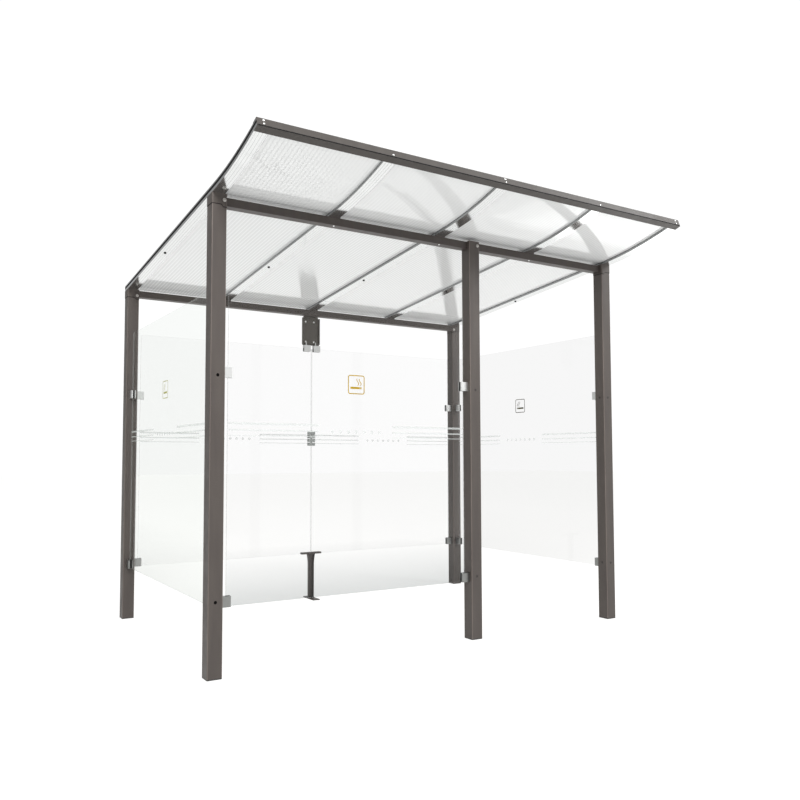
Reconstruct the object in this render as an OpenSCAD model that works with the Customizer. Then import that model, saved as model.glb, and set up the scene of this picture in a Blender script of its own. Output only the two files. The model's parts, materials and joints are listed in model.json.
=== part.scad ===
// Open-fronted smoking shelter: five square posts, two cross beams, a swept fluted roof in glazing bars,
// and five toughened panes held by rubber-lined clamps.
// Millimetres. X runs along the front, Y from front to rear, Z up. The origin is on the ground, in the
// middle of the plan.

/* [Posts] */
// Width over the outer faces of the corner posts
frame_w = 2570; // [2300:10:3000]
// Depth over the outer faces of the corner posts
frame_d = 1570; // [1300:10:1900]
// Outside of the square post tube
post_w = 70; // [60:1:80]
// Wall of the post tube
post_wall = 3; // [2:0.5:5]
// Outside corner radius of the post tube
post_r = 5; // [3.5:0.5:8]
// From the middle of the frame to the left face of the door post
door_post_at = 180; // [60:5:400]
// Height of the pad under each post
pad_h = 6; // [2:0.5:8]

/* [Post caps] */
// How far a cap stands out from its post
cap_proud = 1.5; // [1.5:0.5:5]
// Depth of a cap below the front edge of the bar that rests on it
cap_drop = 48.5; // [45:1:70]
// Post top below the top of its beam
post_top_drop = 8; // [6:1:15]
// Extra length of the cap's tongue on its beam side
tongue_l = 11; // [6:1:16]
// Width of the cap's tongue
tongue_w = 22; // [16:1:30]
// Thickness of the lid on the door post
lid_t = 2; // [1:0.5:4]

/* [Beams] */
// Depth of both beams, front to rear
beam_d = 50; // [40:1:50]
// Height of both beams
beam_h = 40; // [35:1:60]
// Wall of the beam tube
beam_wall = 2.5; // [1.5:0.5:4]
// Outside corner radius of the beam tube
beam_r = 3; // [2.5:0.5:5]
// Top of the front beam above the ground
front_beam_top = 2152; // [2000:1:2400]
// Least thickness of the wedge saddles on the beams
saddle_min = 1; // [1:0.5:8]

/* [Roof] */
// Fall of the roof towards the rear, in degrees
roof_fall = 5.85; // [3:0.05:9]
// Radius of the upswept front, at the middle of the sheet
sweep_r = 2160; // [1600:10:3000]
// Reach of the sheets in front of the posts
front_reach = 500; // [300:5:600]
// Thickness of the fluted sheets
sheet_t = 10; // [8:1:16]
// Skin of the fluted sheets
sheet_skin = 0.7; // [0.5:0.1:1.2]
// Web between two flutes
sheet_web = 0.6; // [0.4:0.1:1]
// Distance from web to web
flute_pitch = 20; // [9:0.5:25]
// Width of a glazing bar
bar_w = 60; // [50:1:70]
// Height of a bar's lower box
bar_base_h = 13; // [8:0.5:16]
// Height of a bar's cover
bar_cover_h = 9; // [7:0.5:12]
// Wall of a bar
bar_wall = 2; // [1.5:0.1:2.5]
// Width of a bar's stem between the sheets
bar_stem_w = 6; // [4:0.5:10]
// Depth of the sheets inside a bar's slot
sheet_bite = 20; // [15:1:22]
// Thickness of the gaskets on both sides of a sheet
gasket_t = 2; // [1.5:0.5:3]
// Width of a gasket strip
gasket_w = 9; // [6:1:12]
// Spacing of the centre bar to the support bars
support_bar_at = 645; // [560:5:680]

/* [Front channel and rear trims] */
// Height of the channel that closes the front of the roof
channel_h = 41; // [38:1:60]
// Depth of the channel
channel_d = 36; // [25:1:50]
// Wall of the channel
channel_t = 2; // [1.5:0.5:3]
// Play between the bars' covers and the channel
channel_play = 0.3; // [0.1:0.1:0.5]
// Wall of the trims on the rear ends of the sheets
trim_t = 1.5; // [1:0.5:2]
// Depth of the trims
trim_d = 18; // [12:1:30]

/* [Glass] */
// Thickness of the panes
glass_t = 8; // [6:1:10]
// Lower edge of the panes above the ground
glass_bottom = 307; // [200:1:400]
// Upper edge of the panes above the ground
glass_top = 1732; // [1600:1:1850]
// Gap between a pane and its post
glass_gap = 25; // [15:1:30]
// Gap between the two rear panes
joint_gap = 6; // [5:0.5:10]
// Corner radius of the panes
glass_r = 6; // [3:1:15]

/* [Clamps] */
// Length of a glass clamp, out from the post
clamp_l = 47; // [45:1:60]
// Height of a glass clamp
clamp_h = 48; // [40:1:60]
// Thickness of a glass clamp
clamp_d = 28; // [22:1:32]
// Radius at the pane end of a clamp
clamp_r = 7; // [4:1:9]
// Lining between the clamp and the glass
lining_t = 2; // [1:0.5:3]
// Middle of the lower clamps above the ground
clamp_low_z = 328; // [320:1:450]
// Middle of the upper clamps above the ground
clamp_high_z = 1353; // [1000:1:1600]

/* [Hanger behind the rear panes] */
// Width of the hanger plate
hanger_w = 134; // [124:1:160]
// Sheet thickness of the hanger plate
hanger_t = 3; // [2:0.5:5]
// Depth of the folded edges
hanger_fold = 11; // [6:1:14]
// Lower edge of the hanger above the top of the panes
hanger_above = 25; // [24:1:60]
// Corner radius at the foot of the hanger
hanger_r = 10; // [6:1:12]
// Middle of each hanging clamp from the joint
hanging_clamp_at = 37; // [36:1:45]
// Width of a hanging clamp
hanging_clamp_w = 49; // [45:1:56]
// Diameter of the stud over a hanging clamp
stud_d = 8; // [6:1:10]

/* [Joint clip and stand] */
// Width of the clip on the joint
clip_w = 50; // [45:1:80]
// Number of segments of the clip
clip_segments = 4; // [3:1:5]
// Height of each segment of the clip
clip_segment_h = 22; // [18:1:36]
// Gap between two segments
clip_segment_gap = 4; // [3:1:8]
// Thickness of the clip on each side of the glass
clip_t = 7; // [5:0.5:10]
// Middle of the clip above the ground
clip_z = 1101; // [900:1:1400]
// Length of the ledge under the joint
ledge_l = 148; // [120:1:200]
// Height of the ledge
ledge_h = 12; // [10:1:20]
// Depth of the ledge, front to rear
ledge_d = 30; // [24:1:40]
// Thickness of the pads under the panes
seat_t = 1; // [0.5:0.5:2]
// Width of the stand's stem
stem_w = 39; // [34:1:50]
// Sheet thickness of the stand's stem
stem_t = 3; // [2:0.5:5]
// Depth of the stand's stem
stem_d = 20; // [16:1:30]
// Width of the stem's flare under the ledge
flare_w = 56; // [50:1:90]
// Height of the flare
flare_h = 75; // [50:1:100]
// Width of the stand's foot plate
foot_w = 50; // [46:1:100]
// Reach of the foot plate in front of the panes
foot_front = 90; // [40:5:120]
// Reach of the foot plate behind the panes
foot_rear = 65; // [40:5:120]
// Thickness of the stand's foot plate
foot_t = 6; // [4:1:10]

/* [Hidden] */
$fn = 48;
smooth = 360;
joined = 0.01;

// Heights across the sheet, from its middle: down to the bars' underside, up to the covers' tops.
slot_half = sheet_t / 2 + gasket_t;
bars_below = slot_half + bar_base_h;
bars_above = slot_half + bar_cover_h;

// The sweep starts over the posts' front faces, tangent to the falling stretch.
sweep_start_to_centre = sweep_r * sin(roof_fall);
sweep_end = asin((front_reach + sweep_start_to_centre) / sweep_r);
sweep_angle = sweep_end - roof_fall;
channel_top = bars_above + channel_play + channel_t;
channel_bottom = channel_top - channel_h;
frontmost = front_reach + channel_t * cos(sweep_end) - channel_bottom * sin(sweep_end);

// Pane planes run through the middle of the posts.
pane_inset = post_w / 2;
pane_at = post_w + glass_gap;
glass_h = glass_top - glass_bottom;
slot_w = glass_t + 2 * lining_t;
pane_in_clamp = clamp_l - glass_gap;

// The plan, centred over everything that overhangs.
x_left = -frame_w / 2;
x_right = frame_w / 2;
rearmost = max(cap_proud, foot_rear - pane_inset);
y_front = -(frame_d + rearmost - frontmost) / 2;
y_rear = y_front + frame_d;
x_left_post = x_left;
x_door_post = door_post_at;
x_right_post = x_right - post_w;
y_rear_post = y_rear - post_w;

// Beams: the front one is flush with the rear of its posts, the rear one with the front of its posts.
y_front_beam = y_front + post_w - beam_d;
y_rear_beam = y_rear_post;
z_sheet = front_beam_top + saddle_min + post_w * tan(roof_fall) + bars_below / cos(roof_fall);
rear_beam_top = bars_under(y_rear_beam + beam_d) - saddle_min;
front_post_top = front_beam_top - post_top_drop;
rear_post_top = rear_beam_top - post_top_drop;

fall_l = frame_d / cos(roof_fall);

// Glazing bars, left to right, and the bars that support the sheets between them.
bar_x = [x_left + bar_w / 2, 0, x_right - bar_w / 2];
support_x = [-support_bar_at, support_bar_at];

// Height of the bars' underside over a place on the falling stretch.
function bars_under(y) = z_sheet - (y - y_front) * tan(roof_fall) - bars_below / cos(roof_fall);

// ---------------------------------------------------------------- sections

// A rectangle with round corners, its lower left corner at the origin.
module round_rect(w, h, r) {
    translate([r, 0]) square([w - 2 * r, h]);
    translate([0, r]) square([w, h - 2 * r]);
    for (x = [r, w - r], y = [r, h - r])
        translate([x, y]) circle(r);
}

module tube_section(w, h, wall, r) {
    difference() {
        round_rect(w, h, r);
        translate([wall, wall]) square([w - 2 * wall, h - 2 * wall]);
    }
}

// A glazing bar's section: hollow base, stem and hollow cover, around the sheet's middle.
module bar_section() {
    difference() {
        union() {
            translate([-bar_w / 2, -bars_below]) square([bar_w, bar_base_h]);
            translate([-bar_stem_w / 2, -slot_half - joined]) square([bar_stem_w, 2 * slot_half + 2 * joined]);
            translate([-bar_w / 2, slot_half]) polygon([
                [0, 0], [bar_w, 0], [bar_w, bar_cover_h - bar_wall],
                [bar_w - bar_wall, bar_cover_h], [bar_wall, bar_cover_h], [0, bar_cover_h - bar_wall]
            ]);
        }
        translate([-bar_w / 2 + bar_wall, bar_wall - bars_below])
            square([bar_w - 2 * bar_wall, bar_base_h - 2 * bar_wall]);
        translate([-bar_w / 2 + bar_wall, slot_half + bar_wall])
            square([bar_w - 2 * bar_wall, bar_cover_h - 2 * bar_wall]);
    }
}

// A support bar's section: a flat tube right under the sheets.
module support_section() {
    translate([-bar_w / 2, -bars_below])
        tube_section(bar_w, bars_below - sheet_t / 2, bar_wall, 1);
}

// A sheet's section from x0 to x1: two skins and a web at each pitch.
module sheet_section(x0, x1) {
    flutes = floor((x1 - x0 - sheet_web) / flute_pitch);
    first = (x0 + x1 - flutes * flute_pitch + sheet_web) / 2;
    difference() {
        translate([x0, -sheet_t / 2]) square([x1 - x0, sheet_t]);
        for (i = [0 : flutes - 1])
            translate([first + i * flute_pitch, sheet_skin - sheet_t / 2])
                square([flute_pitch - sheet_web, sheet_t - 2 * sheet_skin]);
    }
}

// Gasket strips on both faces of a sheet's edge, at a bar's lip that faces towards side.
module gasket_pair(x, side) {
    for (y = [-slot_half, sheet_t / 2])
        translate([x + side * bar_w / 2 - (side > 0 ? gasket_w : 0), y])
            square([gasket_w, gasket_t]);
}

// The strip that fills an edge bar's empty outer slot.
module slot_filler(x, side) {
    translate([x + side * bar_w / 2 - (side > 0 ? gasket_w : 0), -slot_half])
        square([gasket_w, 2 * slot_half]);
}

// ---------------------------------------------------------------- roof frames

// The falling stretch's own frame: y runs down the sheet from the sweep, z is the height across it.
module on_fall() {
    translate([0, y_front, z_sheet]) rotate([-roof_fall, 0, 0]) children();
}

// The same frame, carried round the sweep to the front end of the sheets.
module on_sweep_end() {
    on_fall()
        translate([0, 0, sweep_r])
            rotate([-sweep_angle, 0, 0])
                translate([0, 0, -sweep_r]) children();
}

// Runs a section down the falling stretch and round the sweep, and stops it short of the rear end.
// The section's x is the part's X, and its y is the height across the sheet.
module along_roof(short = 0) {
    on_fall()
        union() {
            mirror([0, 1, 0]) rotate([90, 0, 0]) linear_extrude(fall_l - short) children();
            translate([0, 0, sweep_r])
                rotate([0, 90, 0])
                    rotate_extrude(angle = -sweep_angle, $fn = smooth)
                        translate([sweep_r, 0]) rotate(90) children();
        }
}

// ---------------------------------------------------------------- posts, caps and beams

module post(x, y, top) {
    color("#6b645f")
        translate([x, y, pad_h])
            linear_extrude(top - pad_h) tube_section(post_w, post_w, post_wall, post_r);
}

module foot_pads() {
    color("#3a3836")
        for (p = [
            [x_left_post, y_front], [x_door_post, y_front], [x_right_post, y_front],
            [x_left_post, y_rear_post], [x_right_post, y_rear_post]
        ])
            translate([p[0], p[1], 0]) linear_extrude(pad_h) round_rect(post_w, post_w, post_r);
}

module door_post_lid() {
    color("#6b645f")
        translate([x_door_post, y_front, front_beam_top])
            linear_extrude(lid_t) round_rect(post_w, post_w, post_r);
}

// A cap over a corner post, cut to the underside of its glazing bar. side is 1 where the beam leaves
// towards +X, and -1 towards -X.
module cap(x, y, y_beam, beam_top, post_top, side) {
    low = bars_under(y) - cap_drop;
    outer = post_w + 2 * cap_proud;
    color("#645d58")
        difference() {
            union() {
                translate([x - cap_proud, y - cap_proud, low])
                    linear_extrude(cap_drop + cap_proud)
                        round_rect(outer, outer, post_r + cap_proud);
                cap_tongue(x, y, low, side);
            }
            translate([x, y, low - tongue_l - 1])
                linear_extrude(post_top - low + tongue_l + 1)
                    round_rect(post_w, post_w, post_r);
            translate([x + (side > 0 ? post_w / 2 : -post_w / 2), y_beam, beam_top - beam_h])
                cube([post_w, beam_d, beam_h]);
            on_fall()
                translate([x - post_w, -post_w, -bars_below])
                    cube([3 * post_w, frame_d + 2 * post_w, beam_h]);
        }
}

// The tongue that runs down beside the beam, with a round inner corner where it leaves the cap.
module cap_tongue(x, y, low, side) {
    outer = post_w + 2 * cap_proud;
    edge = side > 0 ? x + post_w + cap_proud : x - cap_proud;
    intersection() {
        translate([x - cap_proud, y - cap_proud, low - tongue_l])
            linear_extrude(tongue_l) round_rect(outer, outer, post_r + cap_proud);
        translate([edge, y - cap_proud, low])
            rotate([90, 0, 180])
                mirror([side > 0 ? 0 : 1, 0])
                    linear_extrude(outer)
                        difference() {
                            translate([0, -tongue_l]) square([tongue_w + tongue_l, tongue_l]);
                            translate([tongue_w + tongue_l, -tongue_l]) circle(tongue_l);
                        }
    }
}

module beam(x0, x1, y, top) {
    color("#5e5853")
        translate([x0, y, top - beam_h])
            rotate([90, 0, 90])
                linear_extrude(x1 - x0) tube_section(beam_d, beam_h, beam_wall, beam_r);
}

// A wedge between a beam's flat top and the falling underside of each inner bar.
module saddles(y, beam_top) {
    color("#4a4541")
        for (x = [support_x[0], bar_x[1], support_x[1]])
            translate([x - bar_w / 2, 0, 0])
                rotate([90, 0, 90])
                    linear_extrude(bar_w)
                        polygon([
                            [y, beam_top], [y + beam_d, beam_top],
                            [y + beam_d, bars_under(y + beam_d)], [y, bars_under(y)]
                        ]);
}

// ---------------------------------------------------------------- roof

module glazing_bar(i) {
    color("#c9cac8") along_roof() translate([bar_x[i], 0]) bar_section();
}

module support_bar(i) {
    color("#c9cac8") along_roof(trim_d + 2 * trim_t) translate([support_x[i], 0]) support_section();
}

module bar_gaskets() {
    color("#1c1c1c")
        along_roof() {
            for (i = [0, 1]) {
                gasket_pair(bar_x[i], 1);
                gasket_pair(bar_x[i + 1], -1);
            }
            slot_filler(bar_x[0], -1);
            slot_filler(bar_x[2], 1);
        }
}

module roof_sheet(i) {
    inset = bar_w / 2 - sheet_bite;
    color("#dfe1e0", 0.7) along_roof() sheet_section(bar_x[i] + inset, bar_x[i + 1] - inset);
}

module front_channel() {
    color("#6b645f")
        on_sweep_end()
            difference() {
                translate([x_left, -channel_t, channel_bottom])
                    cube([frame_w, channel_d, channel_h]);
                translate([x_left - 1, 0, channel_bottom + channel_t])
                    cube([frame_w + 2, channel_d, channel_h - 2 * channel_t]);
            }
}

module sheet_end_trims() {
    color("#c9cac8")
        on_fall()
            for (i = [0, 1])
                translate([bar_x[i] + bar_w / 2, fall_l - trim_d, -sheet_t / 2 - trim_t])
                    difference() {
                        cube([bar_x[i + 1] - bar_x[i] - bar_w, trim_d + trim_t, sheet_t + 2 * trim_t]);
                        translate([-1, -1, trim_t])
                            cube([bar_x[i + 1] - bar_x[i] - bar_w + 2, trim_d + 1, sheet_t]);
                    }
}

// ---------------------------------------------------------------- glass

// A pane that stands along X, from x0 to x1, with its middle at y.
module pane_along_x(x0, x1, y) {
    color("#dfeeea", 0.3)
        translate([x0, y + glass_t / 2, glass_bottom])
            rotate([90, 0, 0])
                linear_extrude(glass_t) round_rect(x1 - x0, glass_h, glass_r);
}

// A pane that stands along Y between the side posts, with its middle at x.
module pane_along_y(x) {
    color("#dfeeea", 0.3)
        translate([x - glass_t / 2, y_front + pane_at, glass_bottom])
            rotate([90, 0, 90])
                linear_extrude(glass_t) round_rect(frame_d - 2 * pane_at, glass_h, glass_r);
}

// ---------------------------------------------------------------- clamps

// A clamp's plan: flat against the post at x = 0, and rounded at the pane end.
module clamp_plan() {
    translate([0, -clamp_d / 2]) square([clamp_l - clamp_r, clamp_d]);
    translate([0, clamp_r - clamp_d / 2]) square([clamp_l, clamp_d - 2 * clamp_r]);
    for (y = [clamp_r - clamp_d / 2, clamp_d / 2 - clamp_r])
        translate([clamp_l - clamp_r, y]) circle(clamp_r);
}

// The slot that takes the pane and its lining.
module clamp_slot_plan() {
    translate([glass_gap - lining_t, -slot_w / 2]) square([clamp_l, slot_w]);
}

module clamp() {
    translate([0, 0, -clamp_h / 2])
        linear_extrude(clamp_h)
            difference() {
                clamp_plan();
                clamp_slot_plan();
            }
}

// The U of rubber round the pane's edge.
module lining() {
    translate([0, 0, -clamp_h / 2])
        linear_extrude(clamp_h)
            difference() {
                translate([glass_gap - lining_t, -slot_w / 2]) square([pane_in_clamp + lining_t, slot_w]);
                translate([glass_gap, -glass_t / 2]) square([clamp_l, glass_t]);
            }
}

// Puts a clamp's pieces at both heights on a post face: at is the face's point in plan, and turn
// points the clamp along its pane.
module at_both_heights(at, turn) {
    for (z = [clamp_low_z, clamp_high_z])
        translate([at[0], at[1], z]) rotate([0, 0, turn]) children();
}

module on_front_pane() {
    at_both_heights([x_left_post + post_w, y_front + pane_inset], 0) children();
    at_both_heights([x_door_post, y_front + pane_inset], 180) children();
}

module on_rear_panes() {
    at_both_heights([x_left_post + post_w, y_rear - pane_inset], 0) children();
    at_both_heights([x_right_post, y_rear - pane_inset], 180) children();
}

module on_side_pane(x) {
    at_both_heights([x, y_front + post_w], 90) children();
    at_both_heights([x, y_rear_post], -90) children();
}

module clamp_linings() {
    color("#1b1b1b") {
        on_front_pane() lining();
        on_side_pane(x_left + pane_inset) lining();
        on_side_pane(x_right - pane_inset) lining();
        on_rear_panes() lining();
        for (side = [-1, 1])
            hanging_lining(side);
    }
}

// ---------------------------------------------------------------- rear joint

y_rear_pane = y_rear - pane_inset;
z_hanger = glass_top + hanger_above;

// A folded plate on the rear beam's rear face, its edges turned forward below the beam.
module hanger_plate() {
    y_plate = y_rear_beam + beam_d;
    folded_top = rear_beam_top - beam_h - hanger_r;
    color("#5a5450") {
        translate([-hanger_w / 2, y_plate + hanger_t, z_hanger])
            rotate([90, 0, 0])
                linear_extrude(hanger_t) {
                    translate([hanger_r, 0])
                        square([hanger_w - 2 * hanger_r, rear_beam_top - z_hanger]);
                    translate([0, hanger_r]) square([hanger_w, folded_top - z_hanger - hanger_r]);
                    for (x = [hanger_r, hanger_w - hanger_r])
                        translate([x, hanger_r]) circle(hanger_r);
                }
        for (x = [-hanger_w / 2, hanger_w / 2 - hanger_t])
            translate([x, y_plate - hanger_fold, z_hanger + hanger_r])
                cube([hanger_t, hanger_fold + joined, folded_top - z_hanger - hanger_r]);
    }
}

z_hanging = glass_top - pane_in_clamp;
hanging_h = pane_in_clamp + hanger_above - 3;

// A block over the top edge of each rear pane, with a stud up the front of the hanger.
module hanging_clamp(side) {
    translate([side * hanging_clamp_at - hanging_clamp_w / 2, y_rear_pane - clamp_d / 2, z_hanging])
        difference() {
            cube([hanging_clamp_w, clamp_d, hanging_h]);
            translate([-1, clamp_d / 2 - slot_w / 2, -1])
                cube([hanging_clamp_w + 2, slot_w, pane_in_clamp + lining_t + 1]);
        }
    translate([side * hanging_clamp_at, y_rear_beam + beam_d - stud_d / 2, z_hanging + hanging_h - 1])
        cylinder(d = stud_d, h = hanger_above + 1);
}

module hanging_clamps() {
    color("#c3c4c0")
        for (side = [-1, 1])
            hanging_clamp(side);
}

module hanging_lining(side) {
    translate([side * hanging_clamp_at - hanging_clamp_w / 2, y_rear_pane - slot_w / 2, z_hanging])
        difference() {
            cube([hanging_clamp_w, slot_w, pane_in_clamp + lining_t]);
            translate([-1, lining_t, -1])
                cube([hanging_clamp_w + 2, glass_t, pane_in_clamp + 1]);
        }
}

// Segments on each side of the glass, on a core through the joint.
module joint_clip() {
    pitch = clip_segment_h + clip_segment_gap;
    z_clip = clip_z - (clip_segments * pitch - clip_segment_gap) / 2;
    core_w = joint_gap - 1;
    color("#b9bdba") {
        for (i = [0 : clip_segments - 1])
            for (y = [-glass_t / 2 - clip_t, glass_t / 2])
                translate([-clip_w / 2, y_rear_pane + y, z_clip + i * pitch])
                    cube([clip_w, clip_t, clip_segment_h]);
        translate([-core_w / 2, y_rear_pane - glass_t / 2 - clip_t / 2, z_clip])
            cube([core_w, glass_t + clip_t, clip_segments * pitch - clip_segment_gap]);
    }
}

ledge_top = glass_bottom + ledge_h - 2 - seat_t;
ledge_bottom = ledge_top - ledge_h;

// The stem's face from the foot plate up to the flare under the ledge, set in by inset.
module stem_face(inset) {
    flare = (flare_w - stem_w) / 2;
    half = stem_w / 2 - inset;
    edge = [
        for (i = [0 : 8]) [half + flare * pow(1 - i / 8, 2), ledge_bottom - flare_h * i / 8],
        [half, foot_t]
    ];
    polygon(concat(edge, [for (i = [9 : -1 : 0]) [-edge[i][0], edge[i][1]]]));
}

// A grooved ledge under both rear panes, on a flared channel that is open to the front, and a foot plate.
module stand() {
    color("#57514d")
        translate([0, y_rear_pane, 0]) {
            difference() {
                translate([-ledge_l / 2, -ledge_d / 2, ledge_bottom]) cube([ledge_l, ledge_d, ledge_h]);
                translate([-ledge_l / 2 - 1, -glass_t / 2, glass_bottom - seat_t])
                    cube([ledge_l + 2, glass_t, ledge_h]);
            }
            difference() {
                translate([0, stem_d / 2, 0])
                    rotate([90, 0, 0]) linear_extrude(stem_d) stem_face(0);
                translate([0, stem_d / 2 - stem_t, 0])
                    rotate([90, 0, 0]) linear_extrude(stem_d) stem_face(stem_t);
            }
            translate([-foot_w / 2, -foot_front, 0]) cube([foot_w, foot_front + foot_rear, foot_t]);
        }
}

module stand_seat() {
    color("#1b1b1b")
        translate([-ledge_l / 2, y_rear_pane - glass_t / 2, glass_bottom - seat_t])
            cube([ledge_l, glass_t, seat_t]);
}

// ---------------------------------------------------------------- the named pieces

post(x_left_post, y_front, front_post_top);  // post_front_left
post(x_door_post, y_front, front_beam_top);  // post_door
post(x_right_post, y_front, front_post_top);  // post_front_right
post(x_left_post, y_rear_post, rear_post_top);  // post_rear_left
post(x_right_post, y_rear_post, rear_post_top);  // post_rear_right
foot_pads();
door_post_lid();
cap(x_left_post, y_front, y_front_beam, front_beam_top, front_post_top, 1);  // cap_front_left
cap(x_right_post, y_front, y_front_beam, front_beam_top, front_post_top, -1);  // cap_front_right
cap(x_left_post, y_rear_post, y_rear_beam, rear_beam_top, rear_post_top, 1);  // cap_rear_left
cap(x_right_post, y_rear_post, y_rear_beam, rear_beam_top, rear_post_top, -1);  // cap_rear_right
beam(x_left_post + post_w, x_door_post, y_front_beam, front_beam_top);  // front_beam_left
beam(x_door_post + post_w, x_right_post, y_front_beam, front_beam_top);  // front_beam_right
beam(x_left_post + post_w, x_right_post, y_rear_beam, rear_beam_top);  // rear_beam
saddles(y_front_beam, front_beam_top);  // front_saddles
saddles(y_rear_beam, rear_beam_top);  // rear_saddles
glazing_bar(0);  // glazing_bar_left
glazing_bar(1);  // glazing_bar_centre
glazing_bar(2);  // glazing_bar_right
bar_gaskets();
support_bar(0);  // support_bar_left
support_bar(1);  // support_bar_right
roof_sheet(0);  // roof_sheet_left
roof_sheet(1);  // roof_sheet_right
front_channel();
sheet_end_trims();
pane_along_x(x_left + pane_at, x_door_post - glass_gap, y_front + pane_inset);  // glass_front
pane_along_y(x_left + pane_inset);  // glass_left
pane_along_y(x_right - pane_inset);  // glass_right
pane_along_x(x_left + pane_at, -joint_gap / 2, y_rear_pane);  // glass_rear_left
pane_along_x(joint_gap / 2, x_right - pane_at, y_rear_pane);  // glass_rear_right
color("#b7b8b4") on_front_pane() clamp();  // clamps_front
color("#b7b8b4") on_side_pane(x_left + pane_inset) clamp();  // clamps_left
color("#b7b8b4") on_side_pane(x_right - pane_inset) clamp();  // clamps_right
color("#b7b8b4") on_rear_panes() clamp();  // clamps_rear
clamp_linings();
hanger_plate();
hanging_clamps();
joint_clip();
stand();
stand_seat();
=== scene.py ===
"""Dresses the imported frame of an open-fronted smoking shelter.

The frame brings every post, beam, glazing bar, sheet, pane and clamp. This script gives each of them its
finish and adds what is too small for the frame: screws and bolts, the frosted stripes and the pictogram
labels on the panes, and the studio round it. Lengths are in metres unless a name ends in _mm.
"""

from __future__ import annotations

import json
import logging
import math
from collections.abc import Iterable, Sequence
from dataclasses import dataclass
from enum import Enum

import bmesh
import bpy
from mathutils import Matrix, Vector
from mathutils.bvhtree import BVHTree

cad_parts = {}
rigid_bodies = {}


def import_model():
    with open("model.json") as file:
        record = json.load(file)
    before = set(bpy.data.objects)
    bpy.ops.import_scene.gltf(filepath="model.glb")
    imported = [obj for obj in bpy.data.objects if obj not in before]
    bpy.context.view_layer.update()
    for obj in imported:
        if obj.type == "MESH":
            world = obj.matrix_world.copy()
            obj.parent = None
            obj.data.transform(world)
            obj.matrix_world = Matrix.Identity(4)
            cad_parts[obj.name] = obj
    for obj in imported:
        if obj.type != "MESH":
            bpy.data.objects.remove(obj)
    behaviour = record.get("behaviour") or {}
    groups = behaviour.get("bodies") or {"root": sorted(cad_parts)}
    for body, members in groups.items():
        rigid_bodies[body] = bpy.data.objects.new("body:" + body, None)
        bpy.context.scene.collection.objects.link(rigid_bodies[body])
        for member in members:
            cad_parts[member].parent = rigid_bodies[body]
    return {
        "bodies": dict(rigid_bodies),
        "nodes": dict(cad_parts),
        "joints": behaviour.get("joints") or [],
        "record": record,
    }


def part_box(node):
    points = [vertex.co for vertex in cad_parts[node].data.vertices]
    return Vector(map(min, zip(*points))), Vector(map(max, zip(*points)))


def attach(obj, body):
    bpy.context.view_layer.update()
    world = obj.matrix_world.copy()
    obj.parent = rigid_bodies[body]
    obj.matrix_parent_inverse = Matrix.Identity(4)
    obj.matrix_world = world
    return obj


Tree = bpy.types.NodeTree
Socket = bpy.types.NodeSocket
Piece = bpy.types.Object
Mesh = bmesh.types.BMesh
Colour = tuple[float, float, float, float]
Triple = tuple[float, float, float]
Pair = tuple[float, float]

LOG = logging.getLogger("shelter")
MM = 0.001
ROOT = "root"
WHITE: Colour = (1.0, 1.0, 1.0, 1.0)
# The values between which most of a noise pattern lies.
NOISE_LOW, NOISE_HIGH = 0.3, 0.7
FORWARD, BACK, LEFT, RIGHT = Vector((0, -1, 0)), Vector((0, 1, 0)), Vector((-1, 0, 0)), Vector((1, 0, 0))
UP = Vector((0, 0, 1))
# How far outside the shelter a line starts that looks for a surface.
OUTSIDE = 3.0
# The bars from left to right.
BARS = (
    "glazing_bar_left", "support_bar_left", "glazing_bar_centre", "support_bar_right", "glazing_bar_right",
)


# ---------- colours and patterns


class Axis(Enum):
    """The direction of a coordinate."""

    X = "X"
    Y = "Y"
    Z = "Z"


def linear(hex_colour: str) -> Colour:
    """Turns an sRGB hex colour into linear RGBA.

    Args:
        hex_colour: Six hex digits.

    Returns:
        Linear red, green and blue, with an alpha of 1.
    """
    channels = [int(hex_colour[i : i + 2], 16) / 255 for i in (0, 2, 4)]
    red, green, blue = (c / 12.92 if c <= 0.04045 else ((c + 0.055) / 1.055) ** 2.4 for c in channels)
    return red, green, blue, 1.0


def add_node(
    tree: Tree, kind: str, inputs: dict[str | int, object] | Sequence[object] = (), out: str | int = 0,
    **settings: object,
) -> Socket | None:
    """Adds a shader node with its settings, and links or sets its inputs.

    Args:
        tree: The node tree that takes the node.
        kind: The node's type, without the words that all of them begin with.
        inputs: A socket to link from, or a value, for the inputs named or numbered, or for the first ones.
        out: The output that is wanted.
        **settings: The node's own properties.

    Returns:
        That output, or None from a node that has no outputs.
    """
    node = tree.nodes.new(f"ShaderNode{kind}")
    for name, value in settings.items():
        setattr(node, name, value)
    for key, value in inputs.items() if isinstance(inputs, dict) else enumerate(inputs):
        if isinstance(value, Socket):
            tree.links.new(value, node.inputs[key])
        else:
            node.inputs[key].default_value = value
    return node.outputs[out] if node.outputs else None


def part(tree: Tree, coordinate: str, axis: Axis) -> Socket:
    """Returns one part of a place (Object), of a normal (Normal) or of a direction (Generated)."""
    return add_node(tree, "SeparateXYZ", [add_node(tree, "TexCoord", out=coordinate)], axis.value)


def facing(tree: Tree, axis: Axis) -> Socket:
    """Returns how squarely a surface looks along an axis, either way, from 0 to 1."""
    return add_node(tree, "Math", [part(tree, "Normal", axis)], operation="ABSOLUTE")


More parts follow.
